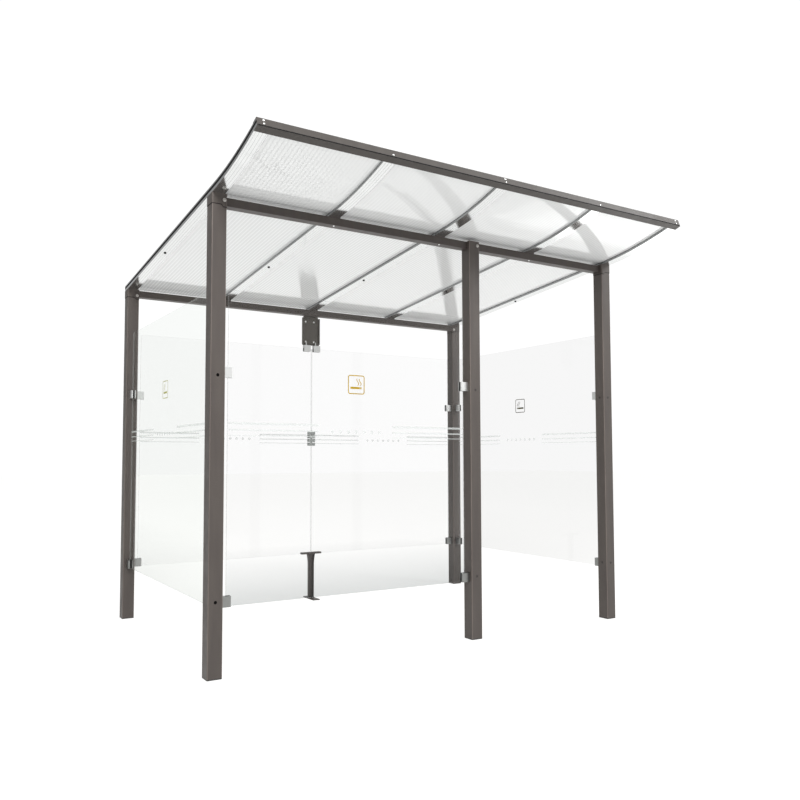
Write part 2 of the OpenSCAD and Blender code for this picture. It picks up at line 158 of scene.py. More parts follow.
def shaded(
    tree: Tree, factor: Socket, start: float, end: float, first: str | Socket, second: str | Socket
) -> Socket:
    """Returns a colour that goes from first to second while a factor goes from start to end.

    Args:
        tree: The node tree to build in.
        factor: What the colour goes by.
        start: The factor up to which the first colour is pure.
        end: The factor from which the second one is.
        first: A hex colour, or a socket that gives a colour.
        second: The same.

    Returns:
        The colour's socket.
    """
    share = add_node(tree, "MapRange", (factor, start, end, 0, 1))
    ends = [linear(colour) if isinstance(colour, str) else colour for colour in (first, second)]
    return add_node(tree, "Mix", {0: share, 6: ends[0], 7: ends[1]}, 2, data_type="RGBA")


def noise(tree: Tree, size_mm: float, detail: float, scale: Sequence[float] = (1, 1, 1)) -> Socket:
    """Returns a noise pattern, mostly between NOISE_LOW and NOISE_HIGH.

    Args:
        tree: The node tree to build in.
        size_mm: The size of its cells.
        detail: How many finer layers it has.
        scale: A factor for each axis, less than 1 to draw the pattern out along it.

    Returns:
        The pattern's socket.
    """
    place = add_node(tree, "Mapping", {"Vector": add_node(tree, "TexCoord", out="Object"), "Scale": scale})
    inputs = {"Vector": place, "Scale": 1 / (size_mm * MM), "Detail": detail}
    return add_node(tree, "TexNoise", inputs, "Fac")


def varied(tree: Tree, size_mm: float, detail: float, low: float, high: float) -> Socket:
    """Returns a value that wanders from low to high over noise with cells of size_mm."""
    return add_node(tree, "MapRange", (noise(tree, size_mm, detail), NOISE_LOW, NOISE_HIGH, low, high))


def mottled(
    tree: Tree, size_mm: float, detail: float, first: str, second: str, scale: Sequence[float] = (1, 1, 1)
) -> Socket:
    """Returns a colour that wanders between two hex colours over noise with cells of size_mm."""
    return shaded(tree, noise(tree, size_mm, detail, scale), NOISE_LOW, NOISE_HIGH, first, second)


def grained(tree: Tree, size_mm: float, detail: float, depth_mm: float, strength: float) -> Socket:
    """Returns a normal bent by noise with cells of size_mm that is depth_mm deep."""
    inputs = {"Height": noise(tree, size_mm, detail), "Distance": depth_mm * MM, "Strength": strength}
    return add_node(tree, "Bump", inputs)


def stripes(tree: Tree, first_mm: float, pitch_mm: float) -> Socket:
    """Returns the distance from the nearest of a row of lines that run from front to rear.

    Args:
        tree: The node tree to build in.
        first_mm: The first line's place, from the middle of the shelter to either side.
        pitch_mm: The spacing of the lines.

    Returns:
        A socket that holds the distance in metres.
    """
    side = add_node(tree, "Math", [part(tree, "Object", Axis.X)], operation="ABSOLUTE")
    start = add_node(tree, "Math", (side, first_mm * MM), operation="SUBTRACT")
    return add_node(tree, "Math", (start, pitch_mm * MM / 2), operation="PINGPONG")


def mirror_share(
    tree: Tree, head_on: float, edge_on: float, normal: Socket | None = None, power: float = 5.0
) -> Socket:
    """Returns the share of light that a clear surface mirrors, from straight on to edge on.

    Args:
        tree: The node tree to build in.
        head_on: The share straight on.
        edge_on: The share at the flattest angle.
        normal: The surface's bent normal, if it has one.
        power: How late the share rises.

    Returns:
        A socket that runs from head_on to edge_on.
    """
    inputs = {"Blend": 0.5} | ({"Normal": normal} if normal else {})
    flat = add_node(tree, "LayerWeight", inputs, "Facing")
    steep = add_node(tree, "Math", (flat, power), operation="POWER")
    return add_node(tree, "MapRange", (steep, 0, 1, head_on, edge_on))


# ---------- finishes


@dataclass(frozen=True)
class Finish:
    """A real finish, and the material that shows it."""

    name: str

    def build(self, tree: Tree) -> Socket:
        """Sets up the material's nodes and returns the socket that goes to its surface."""
        raise NotImplementedError

    def material(self) -> bpy.types.Material:
        """Returns the finish's material, which is made the first time it is asked for.

        Returns:
            The material.
        """
        made = bpy.data.materials.get(self.name)
        if made is None:
            made = bpy.data.materials.new(self.name)
            made.use_nodes = True
            made.node_tree.nodes.clear()
            add_node(made.node_tree, "OutputMaterial", {"Surface": self.build(made.node_tree)})
        return made

    def put_on(self, pieces: Iterable[Piece]) -> None:
        """Gives each piece this finish in all its material slots.

        Args:
            pieces: The pieces that get it.
        """
        for piece in pieces:
            if not piece.data.materials:
                piece.data.materials.append(None)
            for place in piece.material_slots:
                place.material = self.material()


@dataclass(frozen=True)
class PowderCoat(Finish):
    """Polyester powder coat, baked on steel tube: satin, with a faint orange peel and a little dust."""

    colour: str
    dusty: str  # colour where dust has settled in long streaks
    sheen: float = 0.35  # specular level of the coat
    satin: float = 0.48  # its mean roughness
    corner: float = 1.5  # how much lighter the coat is painted on an upright corner: a painted highlight

    def build(self, tree: Tree) -> Socket:
        """Sets up the coat: the orange peel softens its highlights, the dust lifts its darks, and a painted
        highlight lightens its upright corners.

        Args:
            tree: The material's node tree.

        Returns:
            The socket that goes to the material's surface.
        """
        shade = mottled(tree, 38, 3, self.colour, self.dusty, (1, 1, 0.12))
        # Painted highlight: the colour is scaled up where the normal turns between X and Y, on upright
        # corners.
        turned = add_node(tree, "Math", (facing(tree, Axis.X), facing(tree, Axis.Y)), operation="MULTIPLY")
        corner_highlight_gain = add_node(tree, "MapRange", (turned, 0.15, 0.45, 1, self.corner))
        inputs = {
            "Base Color": add_node(tree, "VectorMath", {0: shade, "Scale": corner_highlight_gain}, operation="SCALE"),
            "Roughness": varied(tree, 60, 2, self.satin - 0.06, self.satin + 0.06),
            "Specular IOR Level": self.sheen,
            "Normal": grained(tree, 1.6, 1, 0.02, 0.5),
        }
        return add_node(tree, "BsdfPrincipled", inputs)


@dataclass(frozen=True)
class AnodisedAluminium(Finish):
    """Extruded aluminium, satin anodised: pale silver, with grooves along the bar."""

    colour: str
    painted_wall_shade: str  # painted shade: the darker colour given to the upright side walls
    groove: str  # painted shade: the colour in a groove
    pitch_mm: float = 15.0  # spacing of the grooves, drawn as wide as they need to show
    groove_mm: float = 2.2  # width of the shade that a groove gives

    def build(self, tree: Tree) -> Socket:
        """Sets up the metal: grooves run along the bar as lines of painted shade, and its side walls are
        painted darker as painted shade.

        Args:
            tree: The material's node tree.

        Returns:
            The socket that goes to the material's surface.
        """
        away = stripes(tree, 0.0, self.pitch_mm)
        inner, outer = self.groove_mm * MM * 0.25, self.groove_mm * MM * 0.75
        face = shaded(tree, away, inner, outer, self.groove, self.colour)
        inputs = {
            # Painted shade: faces that look along X get the darker wall colour.
            "Base Color": shaded(tree, facing(tree, Axis.X), 0.5, 0.8, face, self.painted_wall_shade),
            "Metallic": 1.0,
            "Roughness": add_node(tree, "MapRange", (away, inner, outer, 0.2, 0.13)),
        }
        return add_node(tree, "BsdfPrincipled", inputs)


@dataclass(frozen=True)
class TwinWallPolycarbonate(Finish):
    """Extruded opal polycarbonate sheet with flutes: glossy, milky, and ribbed by its inner webs."""

    colour: str
    web_colour: str  # the skin over a web, where two walls meet
    web_dull: float = 0.8  # share of its mirror image that the skin loses over a web
    first_mm: float = 17.5  # place of a web, from the middle of the roof
    # The spacing of the webs, which is that of the frame's own flutes. At half of it the lines are too
    # fine to show in the render.
    pitch_mm: float = 20.0
    web_mm: float = 4.4  # width of the shade that a web gives
    sink_mm: float = 0.2  # how far the skin sinks between two webs
    glow: float = 0.15  # share of light that comes through from the other side
    gloss: float = 0.05  # roughness of the skin
    mirror: float = 0.06  # share of light that the skin mirrors straight on
    late: float = 3.0  # how late that share rises towards the flattest angle

    def build(self, tree: Tree) -> Socket:
        """Sets up the sheet: its skins mirror the frame sharply, and daylight comes through the milk.

        Args:
            tree: The material's node tree.

        Returns:
            The socket that goes to the material's surface.
        """
        away = stripes(tree, self.first_mm, self.pitch_mm)
        inner, outer = self.web_mm * MM * 0.3, self.web_mm * MM
        shade = shaded(tree, away, inner, outer, self.web_colour, self.colour)
        inputs = {"Base Color": shade, "Roughness": 0.6, "Specular IOR Level": 0.0}
        body = add_node(tree, "BsdfPrincipled", inputs)
        through = add_node(tree, "BsdfTranslucent", {"Color": shade})
        milk = add_node(tree, "MixShader", (self.glow, body, through))
        crown = add_node(tree, "MapRange", (away, 0, self.pitch_mm * MM / 2, 1, 0))
        skin = add_node(tree, "Bump", {"Height": crown, "Distance": self.sink_mm * MM, "Strength": 1.0})
        gloss = add_node(tree, "BsdfGlossy", {"Color": WHITE, "Roughness": self.gloss, "Normal": skin})
        kept = add_node(tree, "MapRange", (away, inner, outer, 1 - self.web_dull, 1))
        share = mirror_share(tree, self.mirror, 1.0, skin, self.late)
        image = add_node(tree, "Math", (share, kept), operation="MULTIPLY")
        return add_node(tree, "MixShader", (image, milk, gloss))


@dataclass(frozen=True)
class ToughenedGlass(Finish):
    """Clear toughened float glass: colourless through its faces, pale grey at its polished edges."""

    face: str  # tint of one face
    painted_glass_shade: str  # painted shade: the tint low on the pane, which darkens it towards the bottom
    facing: Axis  # axis that the pane's faces look along
    solid: float  # how much of an edge is seen, rather than seen through
    # The height up to which the painted shade is full, and the height at which it ends.
    glass_shade_heights: Pair = (0.30, 0.62)
    edge: str = "b9bcbb"  # colour of a polished edge
    mirror: float = 0.3  # share of light that the coated glass mirrors edge on
    head_on: float = 0.04  # part of that share that is left straight on

    def build(self, tree: Tree) -> Socket:
        """Sets up the glass: clear faces with a faint mirror image, painted shade low down, and pale edges.

        Args:
            tree: The material's node tree.

        Returns:
            The socket that goes to the material's surface.
        """
        # Painted shade: the tint darkens towards the bottom of the pane.
        tint = shaded(tree, part(tree, "Object", Axis.Z), *self.glass_shade_heights, self.painted_glass_shade, self.face)
        clear = add_node(tree, "BsdfTransparent", {"Color": tint})
        image = add_node(tree, "BsdfGlossy", {"Color": WHITE, "Roughness": 0.0})
        share = mirror_share(tree, self.head_on * self.mirror, self.mirror)
        faces = add_node(tree, "MixShader", (share, clear, image))
        edges = add_node(tree, "BsdfPrincipled", {"Base Color": linear(self.edge), "Roughness": 0.2})
        rim = add_node(tree, "MapRange", (facing(tree, self.facing), 0.3, 0.7, self.solid, 0))
        return add_node(tree, "MixShader", (rim, faces, edges))


@dataclass(frozen=True)
class SatinZinc(Finish):
    """Zinc with a satin blasted finish, painted darker low down as painted shade."""

    colour: str
    painted_zinc_shade: str  # painted shade: the metal's colour near the ground
    # The height below which the painted shade is full, and the one above which there is none.
    zinc_shade_heights: Pair = (0.45, 0.9)

    def build(self, tree: Tree) -> Socket:
        """Sets up the metal: its grain, drawn coarser than real blasting so that it shows, spreads light.

        Args:
            tree: The material's node tree.

        Returns:
            The socket that goes to the material's surface.
        """
        inputs = {
            # Painted shade: the colour darkens towards the ground.
            "Base Color": shaded(tree, part(tree, "Object", Axis.Z), *self.zinc_shade_heights, self.painted_zinc_shade, self.colour),
            "Metallic": 1.0,
            "Roughness": varied(tree, 1.2, 2, 0.34, 0.46),
            "Normal": grained(tree, 1.2, 2, 0.03, 0.3),
        }
        return add_node(tree, "BsdfPrincipled", inputs)


@dataclass(frozen=True)
class PlainMetal(Finish):
    """Turned or pressed steel, as of a screw: even, with tool marks."""

    colour: str
    roughness: float  # how far it spreads a highlight

    def build(self, tree: Tree) -> Socket:
        """Sets up the metal: tool marks, drawn coarser than real ones, break up its highlight a little.

        Args:
            tree: The material's node tree.

        Returns:
            The socket that goes to the material's surface.
        """
        inputs = {
            "Base Color": linear(self.colour),
            "Metallic": 1.0,
            "Roughness": varied(tree, 0.8, 1, self.roughness * 0.85, self.roughness * 1.15),
        }
        return add_node(tree, "BsdfPrincipled", inputs)


@dataclass(frozen=True)
class Epdm(Finish):
    """Extruded EPDM rubber: matt black, with a faint bloom."""

    colour: str
    bloom: str  # where wax has come to its surface

    def build(self, tree: Tree) -> Socket:
        """Sets up the rubber: nearly no gloss, and patches of grey bloom.

        Args:
            tree: The material's node tree.

        Returns:
            The socket that goes to the material's surface.
        """
        shade = mottled(tree, 14, 3, self.colour, self.bloom)
        inputs = {"Base Color": shade, "Roughness": 0.78, "Specular IOR Level": 0.12}
        return add_node(tree, "BsdfPrincipled", inputs)


@dataclass(frozen=True)
class MouldedPlastic(Finish):
    """Injection-moulded plastic with a spark-eroded texture."""

    colour: str
    second: str  # shade of its thicker places
    clear: float  # share of light that passes through it

    def build(self, tree: Tree) -> Socket:
        """Sets up the plastic: the texture, drawn coarser than a real one, keeps its gloss soft.

        Args:
            tree: The material's node tree.

        Returns:
            The socket that goes to the material's surface.
        """
        inputs = {
            "Base Color": mottled(tree, 9, 2, self.colour, self.second),
            "Transmission Weight": self.clear,
            "Roughness": 0.42,
            "Normal": grained(tree, 1.0, 1, 0.03, 0.4),
        }
        return add_node(tree, "BsdfPrincipled", inputs)


@dataclass(frozen=True)
class CutFilm(Finish):
    """Self-adhesive film, cut and laid on the glass: even, matt, and lit by what is behind it."""

    colour: str
    worn: str  # the film where its frost is thinner
    cover: float = 1.0  # how much of what lies behind it the film hides

    def build(self, tree: Tree) -> Socket:
        """Sets up the film: the frost spreads the light from both sides alike, and keeps it matt.

        Args:
            tree: The material's node tree.

        Returns:
            The socket that goes to the material's surface.
        """
        shade = mottled(tree, 6, 2, self.colour, self.worn)
        inputs = {"Base Color": shade, "Roughness": 0.65, "Specular IOR Level": 0.2}
        body = add_node(tree, "BsdfPrincipled", inputs)
        through = add_node(tree, "BsdfTranslucent", {"Color": shade})
        film = add_node(tree, "MixShader", (0.5, body, through))
        clear = add_node(tree, "BsdfTransparent", {"Color": WHITE})
        return add_node(tree, "MixShader", (self.cover, clear, film))


@dataclass(frozen=True)
class PaperSweep(Finish):
    """The studio's white floor: matt paper over a light table."""

    colour: str
    glow: str  # colour of the light from below
    light: float  # strength of that light

    def build(self, tree: Tree) -> Socket:
        """Sets up the paper: matt, and lit from below so that it shows no shadow.

        Args:
            tree: The material's node tree.

        Returns:
            The socket that goes to the material's surface.
        """
        inputs = {
            "Base Color": linear(self.colour),
            "Roughness": 0.9,
            "Specular IOR Level": 0.0,
            "Emission Color": linear(self.glow),
            "Emission Strength": self.light,
        }
        return add_node(tree, "BsdfPrincipled", inputs)


# The frame's warm brown-grey coat: satin on the faces, with a painted highlight line where a corner turns.
POST_COAT = PowderCoat("powder_coat_post_shaded", "443e3b", "4a4440", corner=2.1)
# The same coat on caps, sheet and bolt heads, as shaded and lit copies: painted darker on the caps and the
# bolt heads as painted shade, and paler on the hanger sheet as painted light against its shade.
SHADED_CAP_COAT = PowderCoat("powder_coat_cap_shaded", "413b38", "46403c")
LIT_PLATE_COAT = PowderCoat("powder_coat_plate_lit", "4e4a45", "54504a")
SHADED_BOLT_COAT = PowderCoat("powder_coat_bolt_shaded", "2f2b29", "35302e")
# The coat on the beams and the channel: the posts' coat painted darker as painted shade, and a little
# glossier, so it takes light from the floor.
SHADED_BEAM_COAT = PowderCoat("powder_coat_beam_shaded", "3b3532", "403a37", satin=0.42)
SHADED_CHANNEL_COAT = PowderCoat("powder_coat_channel_shaded", "3d3936", "423e3b", satin=0.46)
# Pale extruded aluminium, whose lengthwise grooves show as thin lines of painted shade, and whose side walls
# are painted darker as painted shade.
BAR_METAL = AnodisedAluminium("anodised_aluminium", "e6e7e7", "9d9e9e", "cccecd")
# Milky sheet that glows with the sky, is lined by its webs and mirrors the frame at flat angles.
OPAL_SHEET = TwinWallPolycarbonate("opal_polycarbonate", "eaebeb", "dcdddd")
# Clear panes that are hardly seen but for a faint veil, painted shade that darkens them towards the foot,
# and a pale edge.
FRONT_GLASS = ToughenedGlass("toughened_glass_front", "fdfdfd", "e6e7e7", Axis.Y, 0.35, (0.30, 0.56))
REAR_GLASS = ToughenedGlass("toughened_glass_rear", "fdfdfd", "fbfbfb", Axis.Y, 0.45)
LEFT_GLASS = ToughenedGlass("toughened_glass_left", "fcfdfc", "f3f4f3", Axis.X, 0.15)
RIGHT_GLASS = ToughenedGlass("toughened_glass_right", "f9f9f9", "f5f5f5", Axis.X, 0.15)
# Small bright things: satin clamps, painted darker on the lower row as painted shade, and screw heads that
# catch the light as dots.
CLAMP_METAL = SatinZinc("satin_zinc", "dbdcdb", "8a8b89")
BRIGHT_ZINC = SatinZinc("bright_zinc", "f2f2f1", "e4e4e3")
STAINLESS = PlainMetal("stainless_steel", "e4e5e3", 0.24)
# Duller hardware: grey plated bolts, and black ones that read as dark dots.
ZINC_PLATE = PlainMetal("zinc_plated_steel", "b4b1ad", 0.36)
BLACK_STEEL = PlainMetal("blackened_steel", "151414", 0.45)
# Black rubber, the darkest lines, beside the sheets and in the clamps; also the dark pieces of painted shade
# under the caps and along the channel.
RUBBER = Epdm("epdm_rubber", "0c0c0c", "161616")
# A half-clear clip at the rear panes' joint, and dark pads in the shade of the posts.
CLIP_PLASTIC = MouldedPlastic("clear_moulded_clip", "b2b5b3", "9a9f9c", 0.35)
PAD_PLASTIC = MouldedPlastic("polyamide_pad", "2e2c2a", "3a3735", 0.0)
# Films on the glass: frosted stripes just greyer than the pane, and the labels' few flat colours.
FROSTED_FILM = CutFilm("frosted_film", "dcdfde", "d6dad8", 0.38)
AMBER_FILM = CutFilm("amber_film", "c5a71b", "bd9f16")
OLIVE_FILM = CutFilm("olive_film", "5f5a1c", "575218")
MOSS_FILM = CutFilm("moss_film", "cccb92", "c5c48a")
GREY_FILM = CutFilm("grey_film", "8a8780", "807d76", 0.95)
PALE_FILM = CutFilm("pale_olive_film", "cfcfa8", "c8c89f", 0.95)
# The studio's white floor, which lights the shelter from below and shows no horizon.
PAPER = PaperSweep("paper_sweep", "8a8a89", "fffffe", 0.84)


# ---------- meshes


def add_object(name: str, data: bpy.types.ID) -> Piece:
    """Adds an object to the scene that shows a mesh, a lamp or a camera.

    Args:
        name: The object's name.
        data: What it shows.

    Returns:
        The object.
    """
    made = bpy.data.objects.new(name, data)
    bpy.context.scene.collection.objects.link(made)
    return made


def make_piece(name: str, shape: Mesh, finish: Finish, smooth: bool = False) -> None:
    """Turns a mesh under construction into a dressed piece that rides on the frame.

    Args:
        name: The piece's name.
        shape: The mesh, which is freed.
        finish: The finish it gets.
        smooth: Whether its faces are shaded as one smooth surface, apart from creases.
    """
    bmesh.ops.recalc_face_normals(shape, faces=shape.faces)
    mesh = bpy.data.meshes.new(name)
    shape.to_mesh(mesh)
    shape.free()
    if smooth:
        mesh.shade_smooth()
        mesh.set_sharp_from_angle(angle=math.radians(35))
    piece = add_object(name, mesh)
    finish.put_on([piece])
    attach(piece, ROOT)
    LOG.info("%s: %d faces, %s", name, len(mesh.polygons), finish.name)


def skin(shape: Mesh, rows: Sequence[Sequence[Vector]], hoop: bool = False, ring: bool = True) -> None:
    """Adds a closed skin of four-sided faces over rows of points, with end faces where it has ends.

    Args:
        shape: The mesh that takes it.
        rows: The rows, in order, with equally many points.
        hoop: Whether the last row joins the first.
        ring: Whether the last point of each row joins its first.
    """
    grid = [[shape.verts.new(point) for point in row] for row in rows]
    for i in range(len(grid) if hoop else len(grid) - 1):
        row, after = grid[i], grid[(i + 1) % len(grid)]
        for j in range(len(row) if ring else len(row) - 1):
            k = (j + 1) % len(row)
            shape.faces.new((row[j], row[k], after[k], after[j]))
    if not hoop:
        shape.faces.new(grid[0])
        shape.faces.new(grid[-1])
    if not ring:
        shape.faces.new([row[0] for row in grid])
        shape.faces.new([row[-1] for row in grid])


def prism(shape: Mesh, outline: Sequence[Vector], depth: Vector) -> None:
    """Adds a closed prism to a mesh, from an outline and the way to its other end."""
    skin(shape, [outline, [point + depth for point in outline]])


def band(shape: Mesh, inner: Sequence[Vector], outer: Sequence[Vector], depth: Vector, closed: bool) -> None:
    """Adds a flat band between two lines of points, with thickness.

    Args:
        shape: The mesh that takes it.
        inner: The points of one side.
        outer: As many points of the other side.
        depth: The way through the band's thickness.
        closed: Whether the band runs round to its start.
    """
    backs = [[point + depth for point in side] for side in (outer, inner)]
    skin(shape, [inner, outer, *backs], hoop=True, ring=closed)


def rounded(half_x: float, half_y: float, radius: float, steps: int) -> list[Pair]:
    """Returns a round-cornered rectangle's points about its middle, anticlockwise from +X.

    Args:
        half_x: Half its width.
        half_y: Half its height.
        radius: The radius of its corners.
        steps: How many stretches each corner has.

    Returns:
        The points, steps + 1 for each corner.
    """
    points = []
    for quarter, (side_x, side_y) in enumerate(((1, 1), (-1, 1), (-1, -1), (1, -1))):
        for i in range(steps + 1):
            angle = (quarter + i / steps) * math.pi / 2
            x = side_x * (half_x - radius) + radius * math.cos(angle)
            points.append((x, side_y * (half_y - radius) + radius * math.sin(angle)))
    return points


class Recess(Enum):
    """What a screw head has in its middle."""

    NONE = "plain"
    HEX = "hexagon socket"


@dataclass(frozen=True)
class ScrewHead:
    """A screw's or bolt's domed head as it stands on a surface."""

    radius: float
    height: float
    recess: Recess = Recess.HEX  # what its middle holds
    sides: int = 24  # how many sides its round has
    steps: int = 6  # how many rings its dome has
    sunk: float = 0.2  # part of its height by which it reaches into the surface
    crown: float = 0.55  # part of its radius that the dome still has at its top
    flat: float = 0.5  # part of its radius that its flat top has
    # A socket's width at its mouth and at its floor, as parts of the flat top's.
    socket: Pair = (0.9, 0.88)
    deep: float = 0.85  # a socket's depth as a part of the head's height

    def ring(self, reach: float, height: float, hexagonal: bool = False) -> list[Vector]:
        """Returns the points of one ring of the head.

        Args:
            reach: Its radius.
            height: Its height above the surface.
            hexagonal: Whether it is a hexagon of that radius rather than round.

        Returns:
            Its points, in order.
        """
        points = []
        for i in range(self.sides):
            angle = math.tau * i / self.sides
            wide = reach
            if hexagonal:
                wide *= math.cos(math.pi / 6) / math.cos(angle % (math.pi / 3) - math.pi / 6)
            points.append(Vector((wide * math.cos(angle), wide * math.sin(angle), height)))
        return points

    def rings(self) -> list[list[Vector]]:
        """Returns the head's rings, from under the surface up and into the socket.

        Returns:
            The rings, each a list of points.
        """
        rings = [self.ring(self.radius, -self.height * self.sunk)]
        for i in range(self.steps):
            angle = math.pi / 2 * i / self.steps
            reach = self.radius * (self.crown + (1 - self.crown) * math.cos(angle))
            rings.append(self.ring(reach, self.height * math.sin(angle)))
        rim = self.radius * self.flat
        rings.append(self.ring(rim, self.height))
        if self.recess is Recess.HEX:
            for share, depth in zip(self.socket, (0, self.deep)):
                rings.append(self.ring(rim * share, self.height * (1 - depth), True))
        return rings

    def piece(self, name: str, places: Sequence[Matrix], finish: Finish, slot: str) -> None:
        """Makes one piece of equal heads.

        Args:
            name: The piece's name.
            places: Where each head stands.
            finish: The finish they share.
            slot: The record's material slot; not used.
        """
        shape = bmesh.new()
        for place in places:
            skin(shape, [[place @ point for point in ring] for ring in self.rings()])
        make_piece(name, shape, finish, smooth=True)


# ---------- frame


class Frame:
    """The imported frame: its nodes, and the places on their surfaces."""

    def __init__(self, loaded: dict[str, object]) -> None:
        self.nodes: dict[str, Piece] = loaded["nodes"]
        self.trees: dict[str, BVHTree] = {}

    def named(self, *starts: str) -> list[Piece]:
        """Returns the nodes whose names begin with any of the given words."""
        return [piece for name, piece in self.nodes.items() if name.startswith(starts)]

    def surface(self, node: str, through: Vector, way: Vector) -> tuple[Vector, Vector]:
        """Finds where a line from outside first meets a node.

        Args:
            node: The node's name.
            through: A point that the line runs through.
            way: The direction it takes.

        Returns:
            The point, and the surface normal that faces back along the line.
        """
        if node not in self.trees:
            mesh = self.nodes[node].data
            points = [v.co for v in mesh.vertices]
            self.trees[node] = BVHTree.FromPolygons(points, [p.vertices for p in mesh.polygons])
        point, normal, _, _ = self.trees[node].ray_cast(through - way * OUTSIDE, way)
        if point is None:
            raise ValueError(f"no surface of {node} through {tuple(through)} along {tuple(way)}")
        return point, -normal if normal.dot(way) > 0 else normal

    def stand(self, node: str, through: Vector, way: Vector) -> Matrix:
        """Returns the matrix that stands a shape's Z axis where a line from outside first meets a node."""
        return stand_on(*self.surface(node, through, way))


def stand_on(point: Vector, normal: Vector) -> Matrix:
    """Returns the matrix that stands a shape's Z axis on a surface, at a point and along its normal."""
    return Matrix.Translation(point) @ normal.to_track_quat("Z", "Y").to_matrix().to_4x4()


def middle_of(node: str) -> Vector:
    """Returns the middle of a node's box."""
    low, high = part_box(node)
    return (low + high) / 2


@dataclass(frozen=True)
class SubAssembly:
    """Pieces of the shelter that belong together."""

    frame: Frame

    def finishes(self) -> dict[Finish, tuple[str, ...]]:
        """Returns, for each finish, how the names begin of the nodes that it goes on."""
        raise NotImplementedError

    def pieces(self) -> None:
        """Adds the pieces that are too small for the frame."""
        raise NotImplementedError

    def build(self) -> None:
        """Dresses the frame's nodes and adds the small pieces."""
        for finish, starts in self.finishes().items():
            dressed = self.frame.named(*starts)
            finish.put_on(dressed)
            LOG.info("%s: %s", finish.name, ", ".join(piece.name for piece in dressed))
        self.pieces()


# ---------- structure


